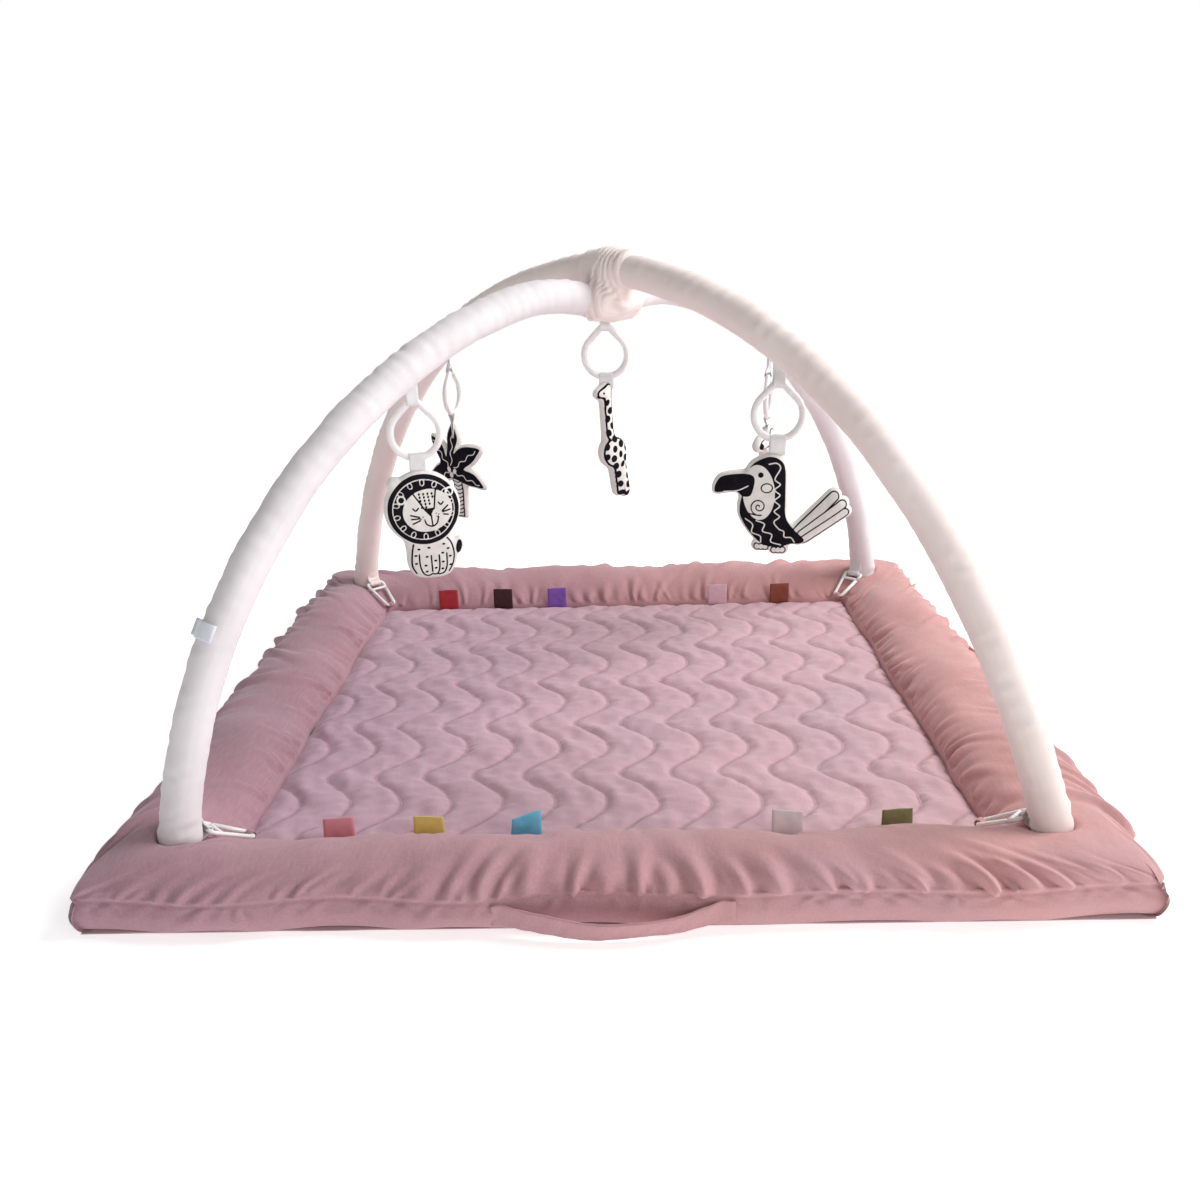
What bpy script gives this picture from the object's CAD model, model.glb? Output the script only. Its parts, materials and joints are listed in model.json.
"""Looks of a baby activity play gym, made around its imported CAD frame: a quilted mat in four stuffed
bolsters, two padded arches, four clips, and five printed plush toys on rings. Metres, +Z up. +X is the right
of the mat and +Y is its back."""

import json
import math

import bmesh
import bpy
import numpy as np
from mathutils import Matrix, Vector


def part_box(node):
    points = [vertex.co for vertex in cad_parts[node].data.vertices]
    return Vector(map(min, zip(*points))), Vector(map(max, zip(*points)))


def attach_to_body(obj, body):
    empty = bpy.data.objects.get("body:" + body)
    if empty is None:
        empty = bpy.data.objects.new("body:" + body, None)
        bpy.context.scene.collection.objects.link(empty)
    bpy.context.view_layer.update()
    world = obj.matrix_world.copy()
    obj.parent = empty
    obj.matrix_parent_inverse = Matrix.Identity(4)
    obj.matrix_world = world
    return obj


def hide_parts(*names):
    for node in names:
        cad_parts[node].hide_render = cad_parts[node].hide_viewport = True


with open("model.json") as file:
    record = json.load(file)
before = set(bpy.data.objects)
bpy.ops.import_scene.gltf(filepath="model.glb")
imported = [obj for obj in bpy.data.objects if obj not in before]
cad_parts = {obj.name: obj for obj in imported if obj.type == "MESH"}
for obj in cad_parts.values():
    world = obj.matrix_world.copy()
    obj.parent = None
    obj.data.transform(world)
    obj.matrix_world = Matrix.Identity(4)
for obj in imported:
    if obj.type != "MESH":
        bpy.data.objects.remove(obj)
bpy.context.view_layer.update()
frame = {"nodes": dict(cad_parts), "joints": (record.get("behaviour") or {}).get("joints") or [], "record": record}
nodes = frame["nodes"]
pivots = {joint["name"]: np.array(joint["pos_m"]) for joint in frame["joints"] if joint["type"] == "hinge"}

# ---------------------------------------------------------------- dimensions shared with the CAD
MAT_HALF = 0.55
INNER_HALF = 0.42              # half the quilt's side, where the bolsters start
ARCH_FOOT_REACH = 0.655
ARCH_BASE_Z = 0.066
# each arch: the height of its top, how many degrees of its ellipse the negative and the positive half take,
# and how far the other arch pushes it up at the crossing
LOWER_SHAPE = (0.606, 81, 81, -0.022)
UPPER_SHAPE = (0.6194, 78, 66, 0.005)
PUSH_WIDTH = 0.08
SLEEVE_RADIUS = 0.021
WRAP_SHIFT = 0.013             # the gathered wrap sits off the crossing, towards the front right
RING_BAR_RADIUS = 0.0042
RING_LOWER_RADIUS = 0.0285
RING_UPPER_RADIUS = 0.010
RING_HEIGHT = 0.0655
HANGER_WIDTH = 0.014
STRAP_WIDTH = 0.019
CLIP_BAR_REACH = 0.6275
CLIP_BAR_Z = 0.064
CLIP_LENGTH = 0.050
CLIP_DROP = 0.030
MM = 0.001

UP = np.array((0.0, 0.0, 1.0))
LOWER_LINE = np.array((1.0, 1.0, 0.0)) / math.sqrt(2)
UPPER_LINE = np.array((1.0, -1.0, 0.0)) / math.sqrt(2)
CORNERS = {"front_left": (-1, -1), "front_right": (1, -1), "back_left": (-1, 1), "back_right": (1, 1)}


# ---------------------------------------------------------------- helpers: numbers
def unit(vectors):
    """The vector, or each vector of an array, at length one."""
    return vectors / np.maximum(np.linalg.norm(vectors, axis=-1, keepdims=True), 1e-12)


def smoothstep(value):
    value = np.clip(value, 0, 1)
    return value * value * (3 - 2 * value)


def soft_min(a, b, width):
    """The lower of two fields, with the crease between them rounded over width."""
    blend = np.clip(0.5 + 0.5 * (b - a) / width, 0, 1)
    return b + (a - b) * blend - width * blend * (1 - blend)


def ripple(points, wavelength, seed, waves=10):
    """A soft irregular wave in space, about -1 to 1: a seeded sum of plane waves near one wavelength."""
    draw = np.random.default_rng(seed)
    total = np.zeros(points.shape[:-1])
    for _ in range(waves):
        direction = unit(draw.normal(size=points.shape[-1]))
        length = wavelength * draw.uniform(0.75, 1.35)
        total += np.sin(points @ direction * (2 * math.pi / length) + draw.uniform(0, 2 * math.pi))
    return total / math.sqrt(waves)


def curve_through(points, steps=8, closed=False):
    """A smooth line through the points (Catmull-Rom)."""
    points = np.array(points, float)
    if closed:
        padded = np.vstack([points[-1:], points, points[:2]])
    else:
        padded = np.vstack([2 * points[0] - points[1], points, 2 * points[-1] - points[-2]])
    share = np.linspace(0, 1, steps, endpoint=False)[:, None]
    pieces = []
    for a, b, c, d in zip(padded, padded[1:], padded[2:], padded[3:]):
        curved = 2 * a - 5 * b + 4 * c - d + share * (3 * (b - c) + d - a)
        pieces.append(b + 0.5 * share * (c - a + share * curved))
    if not closed:
        pieces.append(points[-1:])
    return np.vstack(pieces)


def rounded_path(corners, radius, steps):
    """An open path through the corners with each one between its ends cut off by a small curve."""
    corners = np.array(corners, float)
    points = [corners[0]]
    for before, corner, after in zip(corners, corners[1:], corners[2:]):
        cut = min(radius, 0.49 * np.linalg.norm(before - corner), 0.49 * np.linalg.norm(after - corner))
        start = corner + unit(before - corner) * cut
        end = corner + unit(after - corner) * cut
        for share in np.linspace(0, 1, steps):
            points.append((1 - share) ** 2 * start + 2 * share * (1 - share) * corner + share ** 2 * end)
    return np.array(points + [corners[-1]])


# ---------------------------------------------------------------- helpers: meshes
def grid_faces(rows, columns, closed_rows=False, closed_columns=False, first=0):
    i = np.arange(rows if closed_rows else rows - 1)[:, None]
    j = np.arange(columns if closed_columns else columns - 1)[None, :]
    ahead_i, ahead_j = (i + 1) % rows, (j + 1) % columns
    corners = (i * columns + j, ahead_i * columns + j, ahead_i * columns + ahead_j, i * columns + ahead_j)
    return (np.stack(corners, axis=-1).reshape(-1, 4) + first).tolist()


def tube_faces(rows, around):
    """The faces of a tube of rows rings, with both ends closed."""
    ends = [list(range(around)), [(rows - 1) * around + k for k in range(around)]]
    return grid_faces(rows, around, False, True) + ends


def slab(layers):
    """Vertices and faces of two square grids of points, one above the other, joined round the rim."""
    steps = layers.shape[1]
    count = steps * steps
    faces = grid_faces(steps, steps) + grid_faces(steps, steps, first=count)
    rim = np.concatenate([np.arange(steps), np.arange(1, steps) * steps + steps - 1,
                          (steps - 1) * steps + np.arange(steps - 2, -1, -1),
                          np.arange(steps - 2, 0, -1) * steps])
    for a, b in zip(rim, np.roll(rim, -1)):
        faces.append([int(a), int(b), int(b) + count, int(a) + count])
    return layers.reshape(-1, 3), faces


def grid_normals(points, closed_rows):
    """The normals of a grid of points whose columns close up, and its rows too if closed_rows."""
    along = np.roll(points, -1, 0) - np.roll(points, 1, 0) if closed_rows else np.gradient(points, axis=0)
    around = np.roll(points, -1, 1) - np.roll(points, 1, 1)
    return unit(np.cross(along, around))


def make_object(name, vertices, faces, material, fields=None):
    """A smooth mesh object with outward faces; fields are named numbers per vertex for the material."""
    mesh = bpy.data.meshes.new(name)
    mesh.from_pydata(np.asarray(vertices, float).reshape(-1, 3).tolist(), [], faces)
    bm = bmesh.new()
    bm.from_mesh(mesh)
    bmesh.ops.recalc_face_normals(bm, faces=bm.faces)
    bm.to_mesh(mesh)
    bm.free()
    mesh.shade_smooth()
    for field, values in (fields or {}).items():
        layer = mesh.attributes.new(field, "FLOAT", "POINT")
        layer.data.foreach_set("value", np.ascontiguousarray(values, np.float32).ravel())
    mesh.materials.append(material)
    obj = bpy.data.objects.new(name, mesh)
    bpy.context.scene.collection.objects.link(obj)
    return obj


def tube_mesh(points, normal, radius, around, closed=False, flatten=1.0):
    """Vertices and faces of a round bar along a flat path; flatten scales it across the path's plane."""
    points = np.asarray(points, float)
    if closed:
        ahead = np.roll(points, -1, 0) - np.roll(points, 1, 0)
    else:
        ahead = np.gradient(points, axis=0)
    side = unit(np.cross(unit(ahead), normal))
    turns = 2 * math.pi * np.arange(around) / around
    radii = np.broadcast_to(radius, len(points))[:, None, None]
    section = np.cos(turns)[None, :, None] * side[:, None] + flatten * np.sin(turns)[None, :, None] * normal
    rings = points[:, None] + radii * section
    faces = grid_faces(len(points), around, True, True) if closed else tube_faces(len(points), around)
    return rings.reshape(-1, 3), faces


def merged(parts):
    """Several vertex and face lists as one."""
    vertices, faces = [], []
    for points, polygons in parts:
        start = sum(len(v) for v in vertices)
        faces += [[k + start for k in polygon] for polygon in polygons]
        vertices.append(np.asarray(points).reshape(-1, 3))
    return np.vstack(vertices), faces


def ribbon_mesh(path, across, width, thickness, cells, crumple, seed):
    """A crumpled strap swept along a path. across is the direction of its width, fixed or one per point."""
    path = np.asarray(path, float)
    across = unit(np.broadcast_to(np.asarray(across, float), path.shape))
    facing = unit(np.cross(np.gradient(path, axis=0), across))
    flat = np.linspace(-1, 1, cells + 1) * (1 - 0.35 * thickness / np.max(width))
    widths = np.broadcast_to(width, len(path))[:, None] / 2
    sides = np.concatenate([flat, [1.0], flat[::-1], [-1.0]])
    heights = np.concatenate([np.full(cells + 1, 0.5), [0.0], np.full(cells + 1, -0.5), [0.0]]) * thickness
    middle = path[:, None] + (widths * sides[None])[:, :, None] * across[:, None]
    lift = heights[None, :, None] + crumple * ripple(middle, 0.014, seed)[:, :, None]
    points = middle + lift * facing[:, None]
    return points.reshape(-1, 3), tube_faces(len(path), len(sides))


def loop_path(centre, side, down, radius, tail, gap):
    """A strap's middle line: up one side, round a bar at centre, and back. down points away from the bar."""
    drop = np.linspace(tail, 0, 14)
    reach = gap / 2 + (radius - gap / 2) * smoothstep(1 - drop / min(tail, 3.2 * radius))
    first = centre + drop[:, None] * down + reach[:, None] * side
    turns = np.linspace(0, math.pi, 13)[1:-1, None]
    turn = centre + radius * (np.cos(turns) * side - np.sin(turns) * down)
    last = (centre + drop[:, None] * down - reach[:, None] * side)[::-1]
    return np.vstack([first, turn, last])


def attach(piece, body, slot, *cad_nodes):
    """The piece rides on a body, takes a slot's finish, and stands for these CAD nodes."""
    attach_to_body(piece, body)
    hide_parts(*cad_nodes)


# ---------------------------------------------------------------- helpers: materials
def start_material(name, roughness, **sockets):
    """A new node material. Each keyword is a Principled socket, with _ for a space."""
    material = bpy.data.materials.new(name)
    material.use_nodes = True
    shader = material.node_tree.nodes["Principled BSDF"]
    shader.inputs["Roughness"].default_value = roughness
    for socket, value in sockets.items():
        shader.inputs[socket.replace("_", " ")].default_value = value
    return material


def add_node(material, kind, inputs=None, **settings):
    node = material.node_tree.nodes.new("ShaderNode" + kind)
    for setting, value in settings.items():
        setattr(node, setting, value)
    for socket, value in (inputs or {}).items():
        if isinstance(value, bpy.types.NodeSocket):
            material.node_tree.links.new(value, node.inputs[socket])
        else:
            node.inputs[socket].default_value = value
    return node


def calculate(material, operation, *values):
    return add_node(material, "Math", dict(enumerate(values)), operation=operation).outputs[0]


def remap(material, value, low, high, first=0.0, last=1.0, interpolation="LINEAR"):
    """value's range from low to high, stretched onto first to last and clamped."""
    inputs = {0: value, 1: low, 2: high, 3: first, 4: last}
    return add_node(material, "MapRange", inputs, interpolation_type=interpolation).outputs[0]


def mix_colours(material, factor, first, second):
    shades = [value if isinstance(value, bpy.types.NodeSocket) else (*value, 1) for value in (first, second)]
    node = add_node(material, "Mix", {0: factor, 6: shades[0], 7: shades[1]}, data_type="RGBA")
    return node.outputs[2]


def noise_value(material, scale, detail, stretch=(1, 1, 1), roughness=0.55):
    place = add_node(material, "TexCoord").outputs["Object"]
    sized = add_node(material, "Mapping", {"Vector": place, "Scale": stretch}).outputs[0]
    inputs = {"Vector": sized, "Scale": scale, "Detail": detail, "Roughness": roughness}
    return add_node(material, "TexNoise", inputs).outputs[0]


def weave_height(material, pitch):
    """Threads in all three directions, so that the weave needs no unwrapping. pitch is a thread's width."""
    place = add_node(material, "TexCoord").outputs["Object"]
    scale = 2 * math.pi / (20 * pitch)      # one period of Blender's band texture is 2 pi / 20 at scale 1
    waves = []
    for direction in "XYZ":
        inputs = {"Vector": place, "Scale": scale, "Distortion": 0.6, "Detail": 1.0}
        node = add_node(material, "TexWave", inputs, wave_type="BANDS", bands_direction=direction)
        waves.append(node.outputs["Fac"])
    return calculate(material, "ADD", calculate(material, "ADD", waves[0], waves[1]), waves[2])


def set_bump(material, height, distance, strength, under=None):
    inputs = {"Height": height, "Distance": distance, "Strength": strength}
    if under is not None:
        inputs["Normal"] = under
    return add_node(material, "Bump", inputs).outputs[0]


def finish_material(material, colour, normal=None):
    shader = material.node_tree.nodes["Principled BSDF"]
    material.node_tree.links.new(colour, shader.inputs["Base Color"])
    if normal is not None:
        material.node_tree.links.new(normal, shader.inputs["Normal"])
    return material


# ---------------------------------------------------------------- materials
BOLSTER_PINKS = ((0.395, 0.218, 0.270), (0.600, 0.300, 0.280))      # at the left and the right of the mat
QUILT_PINKS = ((0.515, 0.330, 0.425), (0.605, 0.380, 0.405))
LAVENDER = (0.42, 0.31, 0.40)
SLUB_PINK = (0.72, 0.53, 0.56)
STITCH_LENGTH = 0.0032
STITCH_PINK = (0.72, 0.50, 0.52)
GROOVE_PINK = (0.30, 0.14, 0.16)


def pink_colour(material, pinks):
    """Dusty pink that turns from a cool shade on the left of the mat to a warm one on the right."""
    place = add_node(material, "TexCoord").outputs["Object"]
    x = add_node(material, "SeparateXYZ", {0: place}).outputs[0]
    broad = noise_value(material, 2.2, 2.0)
    shifted = calculate(material, "MULTIPLY_ADD", broad, 0.5, x)
    base = mix_colours(material, remap(material, shifted, -0.30, 0.80), *pinks)
    patches = remap(material, noise_value(material, 4.5, 3.0), 0.52, 0.75, 0.0, 0.4)
    base = mix_colours(material, patches, base, LAVENDER)
    slubs = remap(material, noise_value(material, 420, 2.0, (1, 0.12, 1)), 0.35, 0.75, 0.0, 0.16)
    return mix_colours(material, slubs, base, SLUB_PINK)


def cotton_normal(material, pitch, depth, crease_depth):
    """The bump of a woven cloth: fine soft creases with the weave on them."""
    creases = noise_value(material, 38, 5.0, (1, 1, 1), 0.6)
    soft = set_bump(material, creases, crease_depth, 0.8)
    return set_bump(material, weave_height(material, pitch), depth, 0.5, soft)


def make_mat_cotton():
    material = start_material("mat_cotton", 0.86, Sheen_Weight=0.25, Sheen_Roughness=0.4)
    colour = pink_colour(material, BOLSTER_PINKS)
    return finish_material(material, colour, cotton_normal(material, 0.0011, 0.00012, 0.0016))


def make_quilt_cotton():
    """The mat's cotton with lines of stitches, where the lane field is a whole number."""
    material = start_material("quilt_cotton", 0.86, Sheen_Weight=0.25, Sheen_Roughness=0.4)
    lane = add_node(material, "Attribute", attribute_name="lane").outputs["Fac"]
    from_line = calculate(material, "FRACT", calculate(material, "ADD", lane, 0.5))
    off_line = calculate(material, "ABSOLUTE", calculate(material, "SUBTRACT", from_line, 0.5))
    groove = remap(material, off_line, 0.012, 0.075, 1.0, 0.0)
    line = remap(material, off_line, 0.006, 0.014, 1.0, 0.0)
    place = add_node(material, "TexCoord").outputs["Object"]
    y = add_node(material, "SeparateXYZ", {0: place}).outputs[1]
    phase = calculate(material, "FRACT", calculate(material, "MULTIPLY", y, 1 / STITCH_LENGTH))
    thread = calculate(material, "MULTIPLY", line, calculate(material, "GREATER_THAN", phase, 0.25))
    colour = pink_colour(material, QUILT_PINKS)
    colour = mix_colours(material, calculate(material, "MULTIPLY", groove, 0.38), colour, GROOVE_PINK)
    colour = mix_colours(material, calculate(material, "MULTIPLY", thread, 0.55), colour, STITCH_PINK)
    cloth = cotton_normal(material, 0.0011, 0.00012, 0.0019)
    return finish_material(material, colour, set_bump(material, thread, 0.0005, 0.8, cloth))


def make_plain_cloth(name, light, dark, pitch, crease_depth):
    material = start_material(name, 0.9, Sheen_Weight=0.2, Sheen_Roughness=0.5)
    shade = remap(material, noise_value(material, 9, 4.0), 0.35, 0.7)
    colour = mix_colours(material, shade, light, dark)
    return finish_material(material, colour, cotton_normal(material, pitch, 0.0001, crease_depth))


def make_satin(name, colour, dark):
    """Ribbon with fine ribs and a soft gloss."""
    material = start_material(name, 0.42, Sheen_Weight=0.3, Sheen_Roughness=0.3)
    shade = remap(material, noise_value(material, 60, 3.0), 0.3, 0.75)
    mixed = mix_colours(material, shade, colour, dark)
    return finish_material(material, mixed, set_bump(material, weave_height(material, 0.0009), 0.00008, 0.6))


def make_white_plastic():
    material = start_material("white_plastic", 0.33, Subsurface_Weight=0.25, Subsurface_Scale=0.004)
    shade = remap(material, noise_value(material, 25, 3.0), 0.3, 0.7)
    colour = mix_colours(material, shade, (0.88, 0.87, 0.86), (0.81, 0.80, 0.79))
    grain = set_bump(material, noise_value(material, 300, 2.0), 0.0001, 0.3)
    return finish_material(material, colour, grain)


def make_toy_print():
    """White cotton, printed black where the ink field, a distance in millimetres, is below zero."""
    material = start_material("toy_print", 0.9, Specular_IOR_Level=0.12)
    ink = add_node(material, "Attribute", attribute_name="ink").outputs["Fac"]
    edge = remap(material, ink, -0.22, 0.22)
    worn = remap(material, noise_value(material, 120, 3.0), 0.4, 0.8)
    black = mix_colours(material, worn, (0.0055, 0.0050, 0.0080), (0.0130, 0.0120, 0.0170))
    white = mix_colours(material, worn, (0.83, 0.80, 0.77), (0.76, 0.72, 0.69))
    colour = mix_colours(material, edge, black, white)
    return finish_material(material, colour, cotton_normal(material, 0.0009, 0.00010, 0.0010))


MAT_COTTON = make_mat_cotton()
QUILT_COTTON = make_quilt_cotton()
BASE_CLOTH = make_plain_cloth("base_cloth", (0.56, 0.38, 0.40), (0.50, 0.33, 0.36), 0.0012, 0.001)
SLEEVE_COTTON = {
    "lower": make_plain_cloth("lower_sleeve_cotton", (0.82, 0.775, 0.79), (0.75, 0.70, 0.72), 0.001, 0.0009),
    "upper": make_plain_cloth("upper_sleeve_cotton", (0.91, 0.80, 0.765), (0.85, 0.73, 0.69), 0.001, 0.0009),
}
WHITE_RIBBON = make_satin("white_ribbon", (0.86, 0.84, 0.85), (0.76, 0.74, 0.76))
LABEL_COTTON = make_satin("label_cotton", (0.84, 0.86, 0.93), (0.78, 0.80, 0.88))
WHITE_PLASTIC = make_white_plastic()
TOY_PRINT = make_toy_print()
FIBREGLASS = make_satin("fibreglass", (0.74, 0.74, 0.70), (0.66, 0.66, 0.62))


# ---------------------------------------------------------------- mat
class Bolsters:
    """The ring of four bolsters. A row of the grid runs round the mat; a column goes round the stuffing."""

    SIDE_COLUMNS = 300
    CORNER_COLUMNS = 28
    # inset from the mat's side, height, and the radius of the corner in plan, from the inner underside up
    # over the crest to the outer seam, then down the gusset and back underneath
    SECTION = (
        (0.1180, 0.0030, 0.012), (0.1275, 0.0075, 0.012), (0.1308, 0.0155, 0.014), (0.1296, 0.0245, 0.018),
        (0.1230, 0.0355, 0.028), (0.1120, 0.0462, 0.038), (0.0970, 0.0560, 0.046), (0.0780, 0.0632, 0.052),
        (0.0560, 0.0675, 0.054), (0.0360, 0.0672, 0.048), (0.0180, 0.0620, 0.034), (0.0060, 0.0530, 0.016),
        (0.0006, 0.0430, 0.005), (0.0012, 0.0378, 0.003), (-0.0012, 0.0325, 0.003), (-0.0034, 0.0220, 0.003),
        (-0.0016, 0.0110, 0.003), (0.0030, 0.0040, 0.005), (0.0150, 0.0024, 0.010), (0.0600, 0.0024, 0.012))
    SEAM = 13                  # the outer seam's and the inner seam's points in SECTION
    INNER_SEAM = 3
    STEPS = 6                  # between two of its points

    # rows of puckers: their count, reach, depth and width
    UPPER_FOLDS = ((105, 0.052, 0.0100, 0.0082), (130, 0.026, 0.0055, 0.0055))
    GUSSET_FOLDS = (170, 0.016, 0.0042, 0.0055)
    INNER_FOLDS = (130, 0.040, 0.0062, 0.0070)

    def __init__(self):
        self.section = curve_through(self.SECTION, self.STEPS, closed=True)
        outline = np.vstack([self.section, self.section[:1]])[:, :2]
        steps = np.linalg.norm(np.diff(outline, axis=0), axis=1)
        run = np.cumsum(np.concatenate([[0], steps]))[:-1]
        self.up_from_seam = run[self.SEAM * self.STEPS] - run
        self.build_plan()

    def build_plan(self):
        """Positions for every section point and column, and each column's length along the outer seam."""
        along, corner_turn, quarter = [], [], []
        for side in range(4):
            along += list(np.linspace(-1, 1, self.SIDE_COLUMNS))
            corner_turn += [0.0] * self.SIDE_COLUMNS
            quarter += [side] * self.SIDE_COLUMNS
            turns = np.linspace(0, math.pi / 2, self.CORNER_COLUMNS + 2)[1:-1]
            along += [1.0] * self.CORNER_COLUMNS
            corner_turn += list(turns)
            quarter += [side] * self.CORNER_COLUMNS
        along, turn, quarter = np.array(along), np.array(corner_turn), np.array(quarter)
        inset, height, radius = self.section[:, :1], self.section[:, 1:2], self.section[:, 2:3]
        half = MAT_HALF - inset
        straight = half - radius
        # the front side runs along +X at y = -half; each next side is turned a quarter
        x = straight * along[None] + radius * np.sin(turn)[None]
        y = -straight - radius * np.cos(turn)[None]
        cos, sin = np.cos(quarter * math.pi / 2)[None], np.sin(quarter * math.pi / 2)[None]
        z = np.broadcast_to(height, x.shape)
        self.points = np.stack([x * cos - y * sin, x * sin + y * cos, z], axis=-1)
        seam = self.points[self.SEAM * self.STEPS]
        lengths = np.linalg.norm(np.roll(seam, -1, 0) - seam, axis=1)
        self.length = np.concatenate([[0], np.cumsum(lengths)[:-1]])
        self.perimeter = lengths.sum()

    def folds(self, count, reach, depth, width, level, seed, up):
        """Puckers that run off the seam: sharp valleys between soft ridges, each with its own slant."""
        draw = np.random.default_rng(seed)
        v = (self.up_from_seam - level) if up else (level - self.up_from_seam)
        field = np.zeros(self.points.shape[:2])
        places = (np.arange(count) + draw.uniform(-0.42, 0.42, count)) * self.perimeter / count
        for place in places:
            slant = draw.normal(0, 0.28)
            bend = draw.normal(0, 2.2)
            size = depth * draw.uniform(0.25, 1.0) ** 1.3
            wide = width * draw.uniform(0.6, 1.5)
            far = reach * draw.uniform(0.45, 1.25)
            rows = (v > 0) & (v < 2.4 * far)
            v_rows = v[rows][:, None]
            fade = smoothstep(v_rows / 0.006) * np.exp(-(v_rows / far) ** 2)
            centre = place + slant * v_rows + bend * v_rows ** 2
            gap = self.length[None] - centre
            gap = (gap + self.perimeter / 2) % self.perimeter - self.perimeter / 2
            spread = wide * (0.7 + 0.9 * v_rows / far)
            share = gap / spread
            shoulders = 0.55 * np.exp(-((np.abs(share) - 1.6) / 0.8) ** 2)
            field[rows] += size * fade * (shoulders - np.exp(-share ** 2))
        return field

    def build(self):
        normals = -grid_normals(self.points, closed_rows=True)
        crest = smoothstep((self.up_from_seam - 0.004) / 0.05)[:, None] * (self.points[..., 2] > 0.004)
        inner_seam = self.up_from_seam[self.INNER_SEAM * self.STEPS]
        field = self.folds(*self.UPPER_FOLDS[0], level=0.0, seed=11, up=True)
        field += self.folds(*self.UPPER_FOLDS[1], level=0.0, seed=12, up=True)
        field += self.folds(*self.GUSSET_FOLDS, level=-0.001, seed=13, up=False)
        field += self.folds(*self.INNER_FOLDS, level=inner_seam, seed=14, up=False)
        field -= field.mean(axis=1, keepdims=True)
        soft = ripple(self.points, 0.16, 15) * 0.0028 + ripple(self.points, 0.06, 16) * 0.0011
        field += crest * soft
        field[self.points[..., 2] < 0.0035] = 0
        points = self.press_corners(self.wave_the_edge(self.points + field[..., None] * normals))
        points[..., 2] = np.maximum(points[..., 2], 0.0022)
        return make_object("bolsters", points, grid_faces(*points.shape[:2], True, True), MAT_COTTON)

    def wave_the_edge(self, points):
        """The bottom edge isn't quite straight: it lifts and bulges a little as it goes round."""
        outer = smoothstep((0.030 - self.up_from_seam[:, None]) / 0.03) * (self.section[:, :1] < 0.05)
        wave = ripple(points[..., :2], 0.24, 17)
        x, y = points[..., :1], points[..., 1:2]
        outward = np.where(np.abs(x) > np.abs(y), np.array((1.0, 0, 0)) * np.sign(x),
                           np.array((0, 1.0, 0)) * np.sign(y))
        low = smoothstep((0.03 - points[..., 2]) / 0.03) * (self.section[:, :1] < 0.03)
        points = points + 0.0045 * (outer * wave)[..., None] * outward
        points[..., 2] += 0.005 * low * np.maximum(wave - 0.35, 0)
        return points

    def press_corners(self, points):
        """Each arch foot presses a dent into its corner, and its clip lies in the fold beside it."""
        for sx, sy in CORNERS.values():
            line = unit(np.array((sx, sy, 0.0)))
            along = points @ line
            off = points @ np.array((-line[1], line[0], 0.0))
            away = np.hypot(along - ARCH_FOOT_REACH, off)
            dent = 0.0445 + 0.030 * smoothstep((away - 0.014) / 0.016) + 0.6 * np.maximum(away - 0.030, 0)
            slope = CLIP_DROP / CLIP_LENGTH
            bar = CLIP_BAR_Z - slope * np.clip(CLIP_BAR_REACH - along, 0, 0.08)
            channel = bar - 0.0075 + 0.9 * np.maximum(np.abs(off) - 0.017, 0)
            channel += 2.0 * np.maximum(along - ARCH_FOOT_REACH, 0)
            near = along > 0.5
            pressed = soft_min(points[..., 2], np.minimum(dent, channel), 0.006)
            upper = points[..., 2] > 0.030
            points[..., 2] = np.where(near & upper, pressed, points[..., 2])
        return points


def make_bolsters():
    bolsters = Bolsters().build()
    sides = ("front", "back", "left", "right")
    covers = [side + "_bolster_cover" for side in sides]
    fillings = [side + "_bolster_filling" for side in sides]
    attach(bolsters, "mat", "mat_cotton", *covers, *fillings)


QUILT_PITCH = 0.062            # between two stitch lines
QUILT_PERIOD = 0.150           # of one wave along a line
QUILT_SWING = 0.0225           # half of a wave's width
QUILT_LINE_X = -0.339          # the middle of one line
QUILT_LEFT_Y = -0.100          # a place where the lines are furthest left


def quilt_lane(x, y):
    """Grows by one from each stitch line to the next. A line waves, with straight slopes and round turns."""
    angle = 2 * math.pi * (y - QUILT_LEFT_Y) / QUILT_PERIOD
    wave = -np.cos(angle + 0.22 * np.sin(angle)) - 0.03 * np.cos(2 * angle)
    return (x - QUILT_LINE_X - QUILT_SWING * wave) / QUILT_PITCH


def make_quilt():
    """A puffy quilt: the cloth stands up between the stitch lines and wrinkles towards them."""
    half = INNER_HALF + 0.004
    steps = 262
    xs = np.linspace(-half, half, steps)
    x, y = np.meshgrid(xs, xs)
    flat = np.stack([x, y], axis=-1)
    wander = 0.0012 * ripple(flat, 0.05, 21)
    lane = quilt_lane(x + wander, y)
    off_line = np.abs((lane + 0.5) % 1 - 0.5) * 2
    puff = 1 - (1 - np.clip(off_line * 1.02, 0, 1)) ** 4.2
    edge = np.minimum(half - np.abs(x), half - np.abs(y))
    rim = smoothstep(edge / 0.030)
    lift = 1 + 0.22 * ripple(flat, 0.055, 22)
    z = 0.0165 + 0.0062 * puff * lift * (0.25 + 0.75 * rim) + 0.0022 * rim
    z -= 0.0025 * (1 - smoothstep(edge / 0.012))
    near_line = np.exp(-((off_line - 0.16) / 0.22) ** 2)
    across = np.stack([x * 0.35, y], axis=-1)
    z += near_line * 0.00075 * ripple(across, 0.013, 23, 14)
    z += puff * 0.0007 * ripple(flat, 0.022, 24, 14)
    top = np.stack([x, y, z], axis=-1)
    bottom = top.copy()
    bottom[..., 2] = 0.0026
    lanes = np.stack([lane, lane])
    quilt = make_object("quilt", *slab(np.stack([top, bottom])), QUILT_COTTON, {"lane": lanes})
    attach(quilt, "mat", "mat_cotton", "quilted_mat")


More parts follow.
